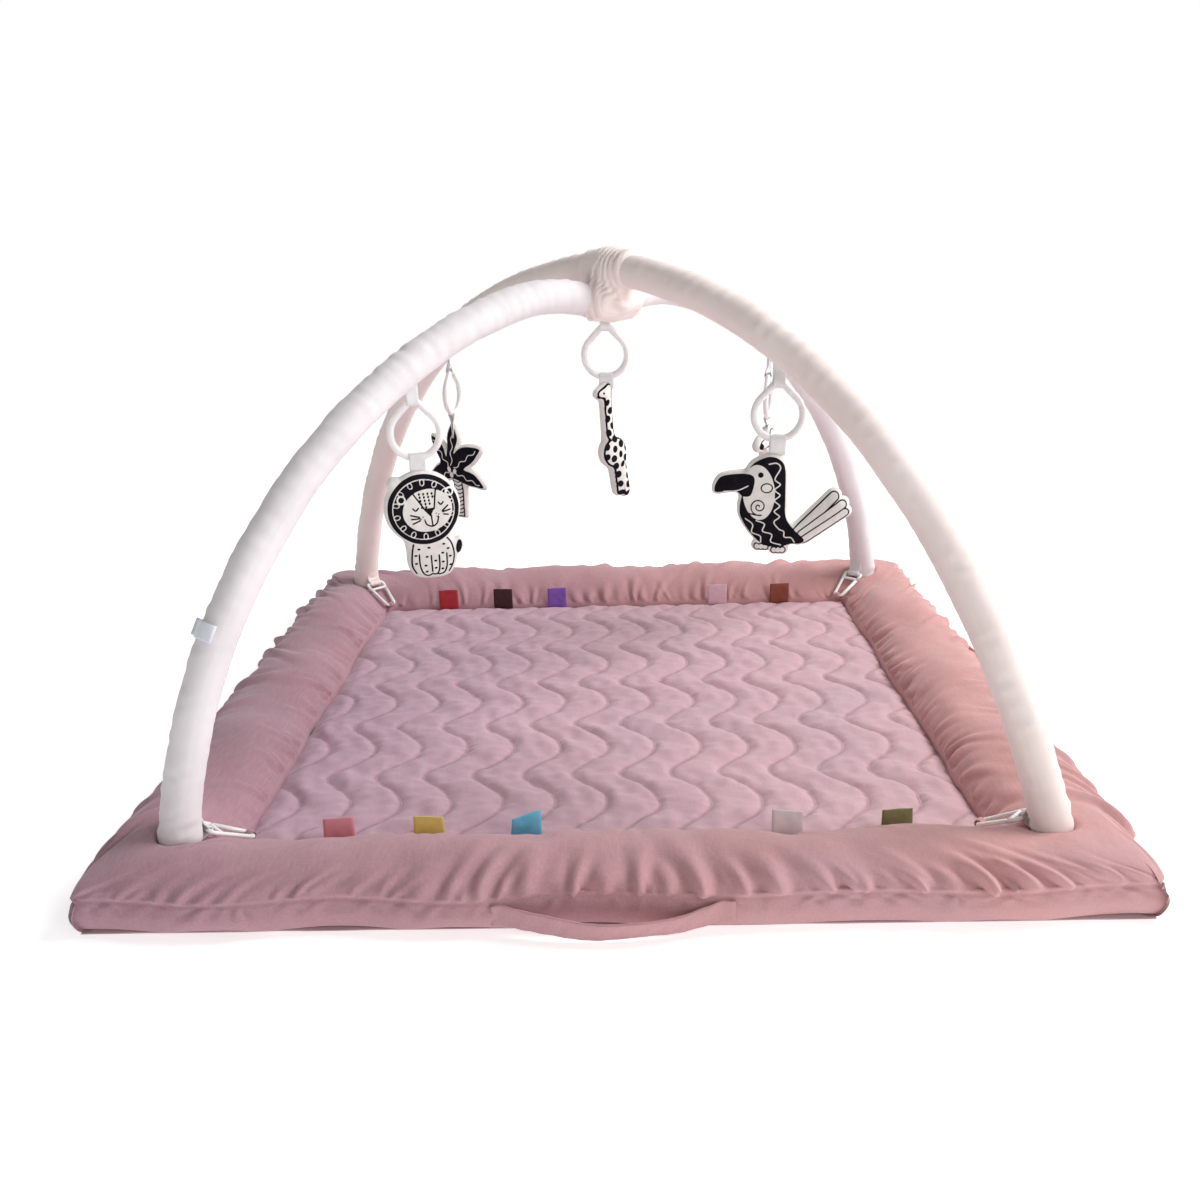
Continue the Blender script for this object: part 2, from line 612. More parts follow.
def make_base_sheet():
    """The plain cloth under the mat."""
    half = MAT_HALF - 0.006
    steps = 90
    xs = np.linspace(-half, half, steps)
    x, y = np.meshgrid(xs, xs)
    z = 0.0008 + 0.0004 * ripple(np.stack([x, y], axis=-1), 0.09, 31)
    top = np.stack([x, y, z + 0.0008], axis=-1)
    bottom = np.stack([x, y, np.maximum(z - 0.0008, 0)], axis=-1)
    sheet = make_object("underside_cloth", *slab(np.stack([top, bottom])), BASE_CLOTH)
    attach(sheet, "mat", "base_cloth", "base_sheet")


# ---------------------------------------------------------------- tags, handles, loops
TAG_WIDTH = 0.034
# each tag: its colour, its darker colour, how far it leans, and how far its top is twisted, in radians
TAGS = {
    "front_tag_pink": ((0.78, 0.32, 0.36), (0.70, 0.25, 0.29), 0.10, 0.10),
    "front_tag_yellow": ((0.86, 0.68, 0.20), (0.76, 0.57, 0.13), 0.05, -0.05),
    "front_tag_blue": ((0.16, 0.52, 0.70), (0.09, 0.40, 0.58), 0.30, 0.45),
    "front_tag_white": ((0.84, 0.79, 0.80), (0.76, 0.70, 0.71), 0.10, -0.12),
    "front_tag_olive": ((0.22, 0.22, 0.09), (0.16, 0.16, 0.06), 0.0, 0.08),
    "back_tag_red": ((0.52, 0.03, 0.04), (0.42, 0.02, 0.03), 0.0, 0.04),
    "back_tag_maroon": ((0.055, 0.010, 0.014), (0.035, 0.007, 0.010), 0.0, -0.03),
    "back_tag_purple": ((0.28, 0.13, 0.55), (0.21, 0.09, 0.45), 0.08, 0.06),
    "back_tag_pink": ((0.82, 0.58, 0.64), (0.74, 0.49, 0.55), 0.0, -0.04),
    "back_tag_brown": ((0.30, 0.075, 0.040), (0.22, 0.05, 0.028), 0.0, 0.03),
}


def make_tags():
    """Folded ribbon tags: both ends are in the seam and the fold stands up, a little askew."""
    for name, (colour, dark, lean, twist) in TAGS.items():
        low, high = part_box(name)
        middle = (np.array(low) + np.array(high)) / 2
        inward = -np.sign(middle[1])
        foot = np.array((middle[0], middle[1] + 0.0012 * inward, 0.0185))
        height = high.z + 0.006 - foot[2]
        share = np.linspace(0, 1, 12)
        bend = inward * (0.002 + 0.006 * lean) * share ** 2
        bow = 0.0016 * np.sin(math.pi * share ** 0.8)
        sideways, up = 0.10 * lean * height * share, height * share
        front = np.stack([sideways, bend + inward * (0.0004 + bow), up], axis=-1)
        back = np.stack([sideways, bend - inward * (0.0004 + 0.3 * bow), up], axis=-1)
        path = rounded_path(np.vstack([front, back[::-1]]), 0.0006, 3) + foot
        turn = twist * np.clip((path[:, 2] - foot[2]) / height, 0, 1)
        across = np.stack([np.cos(turn), np.sin(turn), 0.25 * turn], axis=-1)
        mesh = ribbon_mesh(path, across, TAG_WIDTH, 0.0006, 10, 0.00025, len(name))
        tag = make_object("ribbon_" + name, *mesh, make_satin(name, colour, dark))
        attach(tag, "mat", name, name)


def make_handle(name, turn_degrees, shift):
    """A strap of the mat's cloth, sewn flat at both ends and sagging between them, with a line of stitches
    down each edge and across each end."""
    half, width, thickness = 0.122, 0.023, 0.003
    share = np.linspace(-1, 1, 61)
    free = np.clip(1 - (share / 0.90) ** 2, 0, 1)
    bow = free ** 1.1
    x = half * share
    y = -(MAT_HALF + 0.0062 + 0.0165 * bow)
    z = 0.0245 - 0.0105 * bow + 0.0008 * np.sin(9 * share)
    path = np.stack([x, y, z], axis=-1)
    tilt = 0.35 * bow + 0.10 * np.sin(4 * share)
    across = np.stack([np.zeros_like(x), -np.sin(tilt), np.cos(tilt)], axis=-1)
    vertices, faces = ribbon_mesh(path, across, width, thickness, 14, 0.00035, 41)
    around = len(vertices) // len(path)
    grid = vertices.reshape(len(path), around, 3)
    middle = grid.mean(axis=1, keepdims=True)
    reach = np.linalg.norm(grid - middle, axis=2) / (width / 2)
    pinch = np.exp(-((reach - 0.80) / 0.07) ** 2) + np.exp(-((np.abs(share)[:, None] - 0.93) / 0.012) ** 2)
    outward = np.array((0.0, -1.0, 0.0))
    facing = np.sign((grid - middle) @ outward)
    grid = grid - (0.0006 * np.clip(pinch, 0, 1) * facing)[..., None] * outward
    placed = grid.reshape(-1, 3) @ np.array(Matrix.Rotation(math.radians(turn_degrees), 3, "Z")).T + shift
    strap = make_object(name + "_strap", placed, faces, MAT_COTTON)
    attach(strap, name, "mat_cotton", name)


def clip_point(outward, length, across=0.0):
    """A point of a clip from how far it is from the pivot bar and how far to the side."""
    side = np.cross(UP, outward)
    height = CLIP_BAR_Z - CLIP_DROP * length / CLIP_LENGTH
    return outward * (CLIP_BAR_REACH - length) + UP * height + side * across


def make_corner_loop(corner, outward):
    """A small loop of the mat's cloth that a clip hooks onto."""
    nose = clip_point(outward, CLIP_LENGTH)
    sewn = outward * (nose @ outward + 0.0105) + UP * 0.0265
    down = unit(sewn - nose)
    across = np.cross(UP, outward)
    side = np.cross(across, down)
    path = loop_path(nose, side, down, 0.0044, np.linalg.norm(sewn - nose) + 0.004, 0.0016)
    mesh = ribbon_mesh(path, across, 0.009, 0.0013, 6, 0.0002, 51)
    loop = make_object("mat_loop_" + corner, *mesh, MAT_COTTON)
    attach(loop, "mat", "mat_cotton", "corner_loop_" + corner)


# ---------------------------------------------------------------- arches
def arch_centre(line, shape, place):
    """Points on an arch's middle line, for places from -90 at one foot to 90 at the other."""
    apex, negative_sweep, positive_sweep, push = shape
    place = np.asarray(place, float)
    sweep = np.radians(np.where(place < 0, negative_sweep, positive_sweep))
    turn = sweep * place / 90
    reach = ARCH_FOOT_REACH * np.sin(turn) / np.sin(sweep)
    rise = (np.cos(turn) - np.cos(sweep)) / (1 - np.cos(sweep))
    height = ARCH_BASE_Z + (apex - ARCH_BASE_Z) * rise + push * np.exp(-(reach / PUSH_WIDTH) ** 2)
    return line * reach[..., None] + UP * height[..., None]


def arch_along(line, shape, place):
    """The direction of an arch's middle line, towards its positive foot."""
    return unit(arch_centre(line, shape, place + 0.1) - arch_centre(line, shape, place - 0.1))


# how far each ring of points of a rounded foot is below the sleeve's end
FOOT_DROPS = np.array((0.003, 0.007, 0.0108, 0.0140, 0.0166, 0.0186, 0.0200, 0.0206))
FOOT_DEPTH = 0.0208
SLEEVE_AROUND = 48
SEAM_BEARING = math.radians(78)


def sleeve_rings(line, shape):
    """The middle, direction and relative size of each ring of points of a sleeve, with its feet."""
    places = np.linspace(-90, 90, 421)
    centre = arch_centre(line, shape, places)
    upright = np.exp(-((centre[:, 2:] - ARCH_BASE_Z) / 0.022) ** 2)
    tangent = (1 - upright) * arch_along(line, shape, places) - upright * np.sign(places)[:, None] * UP
    tangent = unit(tangent)
    foot_size = np.sqrt(np.clip(1 - (FOOT_DROPS / FOOT_DEPTH) ** 2.6, 0, 1)) * 1.04
    foot_size[-1] = 0.05
    swell = 1 + 0.05 * np.exp(-((centre[:, 2] - ARCH_BASE_Z) / 0.025) ** 2)
    drops = FOOT_DROPS[:, None]
    path = np.vstack([centre[:1] - UP * drops[::-1], centre, centre[-1:] - UP * drops])
    down = np.ones_like(drops)
    ahead = np.vstack([down * tangent[:1], tangent, down * tangent[-1:]])
    return path, ahead, np.concatenate([foot_size[::-1], swell, foot_size])


def sleeve_relief(path, turns, seed):
    """Creases that are deepest on the inner side and near the feet, and the groove of the seam."""
    steps = np.linalg.norm(np.diff(path, axis=0), axis=1)
    length = np.concatenate([[0], np.cumsum(steps)])[:, None]
    straight = [length, SLEEVE_RADIUS * np.cos(turns), SLEEVE_RADIUS * np.sin(turns)]
    place = np.stack(np.broadcast_arrays(*straight), axis=-1)
    inner_side = 0.5 + 0.5 * np.cos(turns)
    creases = ripple(place * np.array((1.0, 0.28, 0.28)), 0.012, seed, 16)
    soft = ripple(place * np.array((0.45, 1.0, 1.0)), 0.040, seed + 1, 12)
    near_foot = np.exp(-((np.minimum(length, length[-1] - length)) / 0.05) ** 2)
    relief = (0.00016 + 0.00040 * inner_side + 0.00065 * near_foot) * creases + 0.0004 * soft
    off_seam = (turns - SEAM_BEARING + math.pi) % (2 * math.pi) - math.pi
    return relief - 0.0007 * np.exp(-(off_seam * SLEEVE_RADIUS / 0.0012) ** 2)


def make_sleeve(prefix, line, shape, seed):
    """A white cotton sleeve over its padding, with a lengthwise seam, soft creases and rounded sock feet."""
    path, ahead, size = sleeve_rings(line, shape)
    side = np.cross(line, UP)
    inward = np.cross(side, ahead)
    turns = (2 * math.pi * np.arange(SLEEVE_AROUND) / SLEEVE_AROUND)[None]
    spokes = np.cos(turns)[..., None] * inward[:, None] + np.sin(turns)[..., None] * side
    radius = (SLEEVE_RADIUS + sleeve_relief(path, turns, seed)) * size[:, None]
    rings = path[:, None] + radius[..., None] * spokes
    tube = (rings.reshape(-1, 3), tube_faces(len(path), SLEEVE_AROUND))
    mesh = merged([tube, foot_tongue(-line), foot_tongue(line)])
    sleeve = make_object(prefix + "_padded_sleeve", *mesh, SLEEVE_COTTON[prefix])
    attach(sleeve, "arches", "sleeve_cotton", prefix + "_arch_sleeve", prefix + "_arch_padding")


def foot_tongue(outward):
    """The tapered fabric tab on the inner side of a foot. It goes round the clip's bar and back under."""
    bar = clip_point(outward, 0)
    across = np.cross(UP, outward)
    ring = 0.0040
    wall = ARCH_FOOT_REACH - SLEEVE_RADIUS
    turns = np.linspace(math.radians(75), math.radians(285), 15)[:, None]
    round_bar = bar + ring * (np.cos(turns) * outward + np.sin(turns) * UP)
    top = np.array([outward * (wall + 0.0010) + UP * 0.094, outward * (wall - 0.0003) + UP * 0.084,
                    outward * (wall - 0.0022) + UP * 0.0745])
    under = np.array([outward * (wall + 0.004) + UP * 0.0556, outward * (wall + 0.010) + UP * 0.0500])
    path = np.vstack([top, round_bar, under])
    taper = np.interp(np.arange(len(path)), [0, 2, 4, len(path) - 1], [0.010, 0.024, 0.023, 0.020])
    return ribbon_mesh(path, across, taper, 0.0016, 8, 0.0003, 61)


def make_crossing_wrap():
    """A gathered band that hugs both arches where they cross, with folds that run round the upper one."""
    lower_z = arch_centre(LOWER_LINE, LOWER_SHAPE, 0)[2]
    upper_z = arch_centre(UPPER_LINE, UPPER_SHAPE, 0)[2]
    middle_z = (lower_z + upper_z) / 2
    levels = ((LOWER_LINE, lower_z - middle_z), (UPPER_LINE, upper_z - middle_z))
    rows, columns = 120, 200
    tilt = np.linspace(0.02, math.pi - 0.02, rows)[:, None]
    turn = (2 * math.pi * np.arange(columns) / columns)[None]
    spokes = np.stack([np.sin(tilt) * np.cos(turn), np.sin(tilt) * np.sin(turn),
                       np.cos(tilt) * np.ones_like(turn)], axis=-1)
    radius = np.full((rows, columns), 0.06)
    for _ in range(60):
        radius = radius - 0.7 * wrap_distance(spokes * radius[..., None], levels)
    points = spokes * radius[..., None]
    normals = grid_normals(points, closed_rows=False)
    normals *= np.sign((normals * spokes).sum(axis=2, keepdims=True))
    along = points @ UPPER_LINE
    bend = 0.0045 * np.sin(points[..., 2] / 0.016) + 0.003 * ripple(points, 0.05, 112)
    folds = np.sin(2 * math.pi * (along + bend) / 0.0088)
    folds += 0.45 * np.sin(2 * math.pi * (along - 0.8 * bend) / 0.0051)
    strength = 0.7 + 0.5 * ripple(points, 0.05, 111)
    points = points + (0.0010 * strength * folds)[..., None] * normals
    points += UPPER_LINE * WRAP_SHIFT
    points[..., 2] += middle_z
    wrap = make_object("gathered_wrap", points, tube_faces(rows, columns), SLEEVE_COTTON["upper"])
    attach(wrap, "arches", "sleeve_cotton", "crossing_wrap")


def wrap_distance(points, levels):
    """Roughly how far a point is outside the band: a short stretch of each arch, thickened, and the waist
    between them."""
    field = None
    for line, level in levels:
        along = points @ line
        off = points - along[..., None] * line
        off = off - UP * level
        beyond = np.maximum(np.abs(along) - 0.031, 0)
        distance = np.hypot(np.linalg.norm(off, axis=-1), 1.6 * beyond) - 0.0240
        field = distance if field is None else soft_min(field, distance, 0.012)
    waist = np.linalg.norm(points / np.array((0.030, 0.030, 0.044)), axis=-1) * 0.032 - 0.032
    return soft_min(field, waist, 0.012)


def make_sleeve_label():
    """A blank folded tab that stands off the outer side of the front left arm."""
    low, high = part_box("sleeve_label")
    middle = (np.array(low) + np.array(high)) / 2
    centre = arch_centre(LOWER_LINE, LOWER_SHAPE, -68)
    outward = unit(middle - centre)
    along = arch_along(LOWER_LINE, LOWER_SHAPE, -68)
    side = unit(np.cross(along, outward))
    if side[1] > 0:
        side = -side
    turns = np.radians(np.linspace(0, 96, 19))[:, None]
    hug = centre + (SLEEVE_RADIUS + 0.0016) * (np.cos(turns) * outward + np.sin(turns) * side)
    free = hug[0] + np.linspace(0.007, 0.001, 5)[:, None] * unit(outward - 0.5 * side)
    lower = np.vstack([free, hug])
    lift = np.vstack([np.repeat([outward], len(free), 0), unit(hug - centre)])
    path = np.vstack([lower, (lower + 0.0011 * lift)[::-1]])
    width = 0.019
    mesh = ribbon_mesh(path, along, width, 0.0006, 8, 0.0002, 71)
    label = make_object("blank_label", *mesh, LABEL_COTTON)
    attach(label, "arches", "white_ribbon", "sleeve_label")


# ---------------------------------------------------------------- clips
def make_clip(corner, outward):
    """A one-piece plastic clip: a rounded tapering frame and a cross bar, cut so that one side springs."""
    wide, narrow, cross_at, cut_at = 0.0165, 0.0075, 0.012, 0.0145

    def side_at(length):
        return wide + (narrow - wide) * length / CLIP_LENGTH

    outline = [(cross_at, -side_at(cross_at)), (0, -wide), (0, wide), (CLIP_LENGTH, narrow),
               (CLIP_LENGTH, -narrow), (cut_at, -side_at(cut_at))]
    corners = [clip_point(outward, length, across) for length, across in outline]
    path = rounded_path(corners, 0.0055, 7)
    normal = unit(np.cross(clip_point(outward, 0, 1) - clip_point(outward, 0),
                           clip_point(outward, 1) - clip_point(outward, 0)))
    bar = [clip_point(outward, cross_at, share * side_at(cross_at)) for share in np.linspace(-1, 1, 9)]
    swell = 0.0029 + 0.0002 * np.cos(np.linspace(0, 6 * math.pi, len(path)))
    mesh = merged([tube_mesh(path, normal, swell, 14, flatten=0.86),
                   tube_mesh(bar, normal, 0.0026, 12, flatten=0.86)])
    clip = make_object("moulded_clip_" + corner, *mesh, WHITE_PLASTIC)
    attach(clip, "clip_" + corner, "white_plastic", "clip_" + corner)


# ---------------------------------------------------------------- hanging toys
# each toy: how far its ring and the toy are turned about the vertical, how far below the toy's top its strap
# is sewn, how plump it is, and its mesh's seed
HANGING = {
    "lion": (12, 18, 0.004, 0.9, 81),
    "palm": (75, -26, 0.020, 0.7, 82),
    "giraffe": (0, 44, 0.004, 0.75, 83),
    "toucan": (0, -9, 0.004, 0.9, 84),
    "zebra": (75, 50, 0.004, 0.8, 85),
}


def make_hanger(toy, pivot, along):
    """A flat ribbon from the arch down round the top of the ring."""
    side = np.cross(along, UP)
    radius = RING_BAR_RADIUS + 0.0012
    top_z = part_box("hanger_loop_" + toy)[1].z
    path = loop_path(pivot, side, UP, radius, top_z - pivot[2] + 0.003, 0.0030)
    mesh = ribbon_mesh(path, along, HANGER_WIDTH, 0.0008, 8, 0.0002, 91)
    hanger = make_object("hanger_ribbon_" + toy, *mesh, WHITE_RIBBON)
    attach(hanger, "arches", "white_ribbon", "hanger_loop_" + toy)


def make_ring(toy, pivot, along):
    """A drop-shaped ring: a wide arc below, a tight arc on top, straight sides, and its split's groove."""
    low_centre, top_centre = RING_LOWER_RADIUS - RING_HEIGHT, -RING_UPPER_RADIUS
    tangent = math.asin((RING_LOWER_RADIUS - RING_UPPER_RADIUS) / (top_centre - low_centre))
    split_at = math.radians(22)
    lower = np.linspace(math.pi - tangent, 2 * math.pi + tangent, 90)
    upper = np.linspace(tangent, math.pi - tangent, 24)
    outline = []
    arcs = ((RING_LOWER_RADIUS, low_centre, lower), (RING_UPPER_RADIUS, top_centre, upper))
    for radius, centre, turns in arcs:
        outline.append(np.stack([radius * np.cos(turns), centre + radius * np.sin(turns)], axis=-1))
    outline = np.vstack(outline)
    bearing = np.concatenate([lower - 2 * math.pi, np.full(len(upper), 9.0)])
    groove = np.exp(-((bearing - split_at) * RING_LOWER_RADIUS / 0.0006) ** 2)
    points = pivot + outline[:, :1] * along + outline[:, 1:] * UP
    radius = RING_BAR_RADIUS * (1 - 0.22 * groove)
    mesh = tube_mesh(points, np.cross(UP, along), radius, 18, closed=True)
    ring = make_object("ring_drop_" + toy, *mesh, WHITE_PLASTIC)
    attach(ring, "ring_" + toy, "white_plastic", "ring_" + toy)


def make_strap(toy, pivot, along, sewn_z):
    """A ribbon folded round the bottom of the ring and sewn into the toy."""
    bar = pivot - UP * RING_HEIGHT
    side = np.cross(along, UP)
    path = loop_path(bar, side, -UP, RING_BAR_RADIUS + 0.0011, bar[2] - sewn_z, 0.0024)
    mesh = ribbon_mesh(path, along, STRAP_WIDTH, 0.0008, 8, 0.00025, 92)
    strap = make_object("toy_ribbon_" + toy, *mesh, WHITE_RIBBON)
    attach(strap, body_of("strap_" + toy), "white_ribbon", "strap_" + toy)


def body_of(node):
    for body, members in frame["record"]["behaviour"]["bodies"].items():
        if node in members:
            return body
    raise KeyError(node)


# ---- fields of the toys' shapes and prints: signed distances in millimetres over the grid (x, z)
def ellipse(x, z, centre, semi, tilt=0):
    a = math.radians(tilt)
    u = (x - centre[0]) * math.cos(a) + (z - centre[1]) * math.sin(a)
    v = (z - centre[1]) * math.cos(a) - (x - centre[0]) * math.sin(a)
    size = np.hypot(u / semi[0], v / semi[1])
    slope = np.hypot(u / semi[0] ** 2, v / semi[1] ** 2)
    return size * (size - 1) / np.maximum(slope, 1e-6)


def line_distance(x, z, points):
    """The distance to a line through the points."""
    nearest = np.full(x.shape, 1e9)
    points = np.asarray(points, float)
    for (ax, az), (bx, bz) in zip(points, points[1:]):
        dx, dz = bx - ax, bz - az
        share = np.clip(((x - ax) * dx + (z - az) * dz) / max(dx * dx + dz * dz, 1e-9), 0, 1)
        nearest = np.minimum(nearest, np.hypot(x - ax - share * dx, z - az - share * dz))
    return nearest


def polygon(x, z, points):
    """The signed distance to a closed outline, negative inside."""
    points = np.asarray(points, float)
    inside = np.zeros(x.shape, bool)
    for (ax, az), (bx, bz) in zip(points, np.roll(points, -1, 0)):
        crosses = (az > z) != (bz > z)
        reach = ax + (z - az) * (bx - ax) / (bz - az if bz != az else 1e-9)
        inside ^= crosses & (x < reach)
    distance = line_distance(x, z, np.vstack([points, points[:1]]))
    return np.where(inside, -distance, distance)


def blob(x, z, points, steps=6):
    """The signed distance to a smooth closed outline through the points."""
    return polygon(x, z, curve_through(points, steps, closed=True))


def union(*fields):
    return np.minimum.reduce(fields)


def strokes(x, z, lines, half):
    """Drawn lines of one half width, each smooth through its points."""
    return union(*[line_distance(x, z, curve_through(line)) for line in lines]) - half


def dots(x, z, places, semi):
    return union(*[ellipse(x, z, place, semi) for place in places])


def draw_lion(x, z):
    mane = ellipse(x, z, (1.7, -41.4), (42.2, 41.8))
    body = blob(x, z, [(-17, -74), (-18, -95), (-17, -112), (-9, -123), (8, -126), (26, -124), (35, -111),
                       (36, -92), (29, -75), (6, -66)])
    tail = ellipse(x, z, (41, -91), (4, 8), -12)
    ear = ellipse(x, z, (-29, -12), (6.5, 6.5))
    shape = soft_min(soft_min(mane, body, 6), soft_min(tail, ear, 1), 3) - 2.6
    curl_line = np.abs(ellipse(x, z, (1.6, -41.4), (36.2, 35.8))) - 0.6
    loops = []
    for turn in np.arange(0.5, 14) * 2 * math.pi / 14:
        middle = (1.6 + 32.8 * math.cos(turn), -41.4 + 32.4 * math.sin(turn))
        loops.append(np.abs(ellipse(x, z, middle, (3.6, 2.5), math.degrees(turn))) - 0.6)
    face = ellipse(x, z, (6.0, -42.5), (29.5, 25.5), 11)
    ears = [np.abs(ellipse(x, z, middle, (4.4, 4.4))) - 1.0 for middle in ((-24, -28), (33, -22))]
    white_lines = union(curl_line, *loops, *ears)
    mane_ink = np.maximum(np.maximum(mane, -white_lines), -face)
    muzzle = [[(-11, -20), (3, -42)], [(17, -15.5), (13.6, -41)], [(9.6, -48), (10.7, -61.6)],
              [(2, -55), (4, -59.5), (10.3, -61.8), (16, -58.5), (18.2, -51)]]
    eyes = [[(-11.5, -39), (-8.2, -42), (-4.8, -39)], [(19, -33.6), (21.9, -36.6), (24.8, -33.6)]]
    whiskers = [[(-14.6, -46.8), (-4.4, -49.8)], [(-14, -51.7), (-4.4, -51.7)],
                [(-12.6, -57.5), (-3.6, -54.2)], [(23, -44.3), (30, -38.3)],
                [(23.5, -45.5), (32.5, -43.5)], [(24.3, -48.4), (30, -49.6)]]
    nose = polygon(x, z, [(0.5, -40.5), (14.2, -39.5), (8.6, -50)])
    drops = [(-3 + 0.6 * row + 5.0 * k, -22.5 - 4.0 * row)
             for row, count in enumerate((4, 4, 3, 3, 2)) for k in range(count)]
    cheeks = [(0, -50), (-2.6, -52.2), (1.4, -53.4), (15.6, -46.8), (18.6, -48), (16.4, -50.4)]
    face_ink = union(strokes(x, z, muzzle + eyes + whiskers, 0.95), nose, dots(x, z, drops, (1.25, 1.7)),
                     dots(x, z, cheeks, (0.9, 0.9)))
    face_ink = np.maximum(face_ink, face)
    body_lines = [[(-13, -78), (-16, -95), (-16.5, -110), (-12, -120)],
                  [(25, -76), (31, -84), (34, -97), (32.5, -110), (27, -120)],
                  [(-8, -96), (-7.5, -110), (-4, -120), (2, -123.5), (7, -121)],
                  [(6, -98), (6.6, -118)],
                  [(15.5, -98), (15.6, -112), (13, -121), (8, -122)],
                  [(25, -97), (24.4, -112), (21, -121), (14, -122.5)]]
    dabs = [(-6, -82), (10, -81), (22, -85), (-8, -89), (4, -88), (27, -91), (-12, -97), (1, -99),
            (-12, -107), (11, -105), (20, -96), (29, -101), (11, -114), (29, -112), (-1, -110), (20, -107),
            (0, -118), (19, -116)]
    body_ink = union(strokes(x, z, body_lines, 1.0), dots(x, z, dabs, (2.0, 1.3)))
    body_ink = np.maximum(body_ink, -(mane - 1.5))
    return shape, union(mane_ink, face_ink, body_ink, tail)


def draw_toucan(x, z):
    body = blob(x, z, [(-26, -11), (-10, -4), (3, -7), (10, -18), (11, -50), (12, -76), (22, -91),
                       (34, -103), (29, -109), (19, -109), (3, -113), (-14, -110), (-29, -97), (-41, -78),
                       (-43, -65), (-41, -53), (-38, -40), (-34, -22)])
    beak = blob(x, z, [(-73.5, -45.6), (-72, -37), (-65.6, -28.5), (-52, -25), (-33, -24), (-26, -28),
                       (-26, -37), (-29.5, -48.5), (-35, -51), (-41, -50), (-46.6, -45.6), (-58, -45.6),
                       (-69, -47.5)])
    feathers = [((25.7, -94), (67.5, -50.4), 5.6), ((31.4, -97), (77, -60), 5.3),
                ((35, -102.6), (80.8, -69.4), 4.6)]
    tail = [line_distance(x, z, (start, end)) - radius for start, end, radius in feathers]
    toes = [union(*[ellipse(x, z, (middle + step, -114.5 + rise), (3.6, 4.2)) for step in (-5, 0, 5)])
            for middle, rise in ((-16.6, 1.5), (3.8, -2.5))]
    shape = soft_min(soft_min(body, beak, 3), soft_min(union(*tail), union(*toes), 2), 4) - 3.0
    patch = ellipse(x, z, (-20.5, -46), (19, 33), 4)
    wave = [(-9, -12), (0, -11), (4.5, -17)]
    wave += [(1.5 + 3.2 * math.cos(math.pi * k), -23 - 6.5 * k) for k in range(1, 10)]
    wave += [(4, -90), (10, -93), (11, -100), (19, -101), (23, -107)]
    lines = [wave, [(-23, -80), (-13, -84), (-15, -93), (-4, -97), (-5, -106), (7, -110)],
             [(-36, -78), (-27, -85), (-28, -95), (-18, -99), (-17, -107)]]
    body_ink = np.maximum(np.maximum(body, -patch), -strokes(x, z, lines, 0.75))
    turns = np.linspace(0.4, 3.6 * math.pi, 70)
    reach = 0.4 + 0.92 * turns
    spiral = np.stack([-20 + reach * np.cos(turns), -63 + reach * np.sin(turns)], axis=-1)
    spiral_end = [spiral[-1], (-24, -73), (-34, -70), (-39.5, -62), (-40, -53)]
    cheek = np.abs(ellipse(x, z, (-11, -40.3), (6.6, 5.4))) - 0.8
    eye = ellipse(x, z, (-18.4, -24.7), (3.3, 3.3))
    patch_ink = np.maximum(union(eye, cheek, strokes(x, z, [spiral, spiral_end], 0.8)), patch)
    beak_ink = np.maximum(beak, -strokes(x, z, [[(-62, -46), (-47, -44.5), (-33, -38)]], 0.7))
    outlines = []
    for k, feather in enumerate(tail):
        ring = np.abs(feather) - 0.8
        for nearer in tail[k + 1:]:
            ring = np.maximum(ring, -(nearer + 0.8))
        outlines.append(ring)
    tail_ink = np.maximum(union(*outlines), -body)
    toe_ink = np.maximum(union(*[np.abs(toe) - 0.8 for toe in toes]), -body)
    return shape, union(body_ink, patch_ink, beak_ink, tail_ink, toe_ink)


def draw_palm(x, z):
    leaves = blob(x, z, [(-0.5, 3), (4, -8), (8, -21), (5, -32), (1.5, -45), (12, -36), (28, -33),
                         (47, -36), (43, -46), (33, -58), (19, -69), (34, -76), (45, -86), (51, -98),
                         (38, -97), (22, -94), (6, -87), (-8, -85), (-26, -91), (-40, -95), (-53, -99),
                         (-49, -84), (-38, -70), (-25, -60), (-32, -46), (-39, -32), (-42, -19),
                         (-29, -25), (-19, -37), (-12, -50), (-11, -38), (-11, -20), (-6, -6)], 3)
    trunk = polygon(x, z, [(-3, -80), (14, -80), (12, -147), (0, -147)])
    shape = soft_min(leaves, trunk, 6) - 3.4
    middle = np.array((-4.0, -72.0))
    veins = []
    for tip in ((-0.5, -2), (43, -38), (47, -95), (-50, -96), (-40, -23)):
        end = np.array(tip, float)
        share = np.linspace(0.12, 0.96, 24)[:, None]
        sideways = np.array((middle[1] - end[1], end[0] - middle[0])) / np.linalg.norm(end - middle)
        veins.append(middle + share * (end - middle) + 1.9 * np.sin(20 * share) * sideways)
    nuts = union(ellipse(x, z, (-8, -70), (4.2, 5.8), 15), ellipse(x, z, (-4.5, -79), (4.2, 5.6)),
                 ellipse(x, z, (2, -73), (4, 5.4), -20))
    leaf_ink = np.maximum.reduce([leaves, -strokes(x, z, veins, 0.75), -(nuts + 0.9)])
    bands = [[(-0.5, height), (6, height - 2.5), (12.5, height)] for height in np.arange(-88, -140, -6.4)]
    trunk_ink = np.maximum(union(np.abs(trunk) - 1.0, strokes(x, z, bands, 0.9)), -(leaves - 0.5))
    trunk_ink = np.maximum(trunk_ink, trunk - 1.0)
    return shape, union(leaf_ink, trunk_ink)


def draw_quadruped(x, z, neck, head, body, ear, legs):
    """The outline that the giraffe and the zebra share: bars and ellipses, melted together."""
    shape = line_distance(x, z, neck[:2]) - neck[2]
    for part in (head, body, ear):
        shape = soft_min(shape, ellipse(x, z, *part), 7)
    for start, end, half in legs:
        shape = soft_min(shape, line_distance(x, z, (start, end)) - half, 7)
    return shape


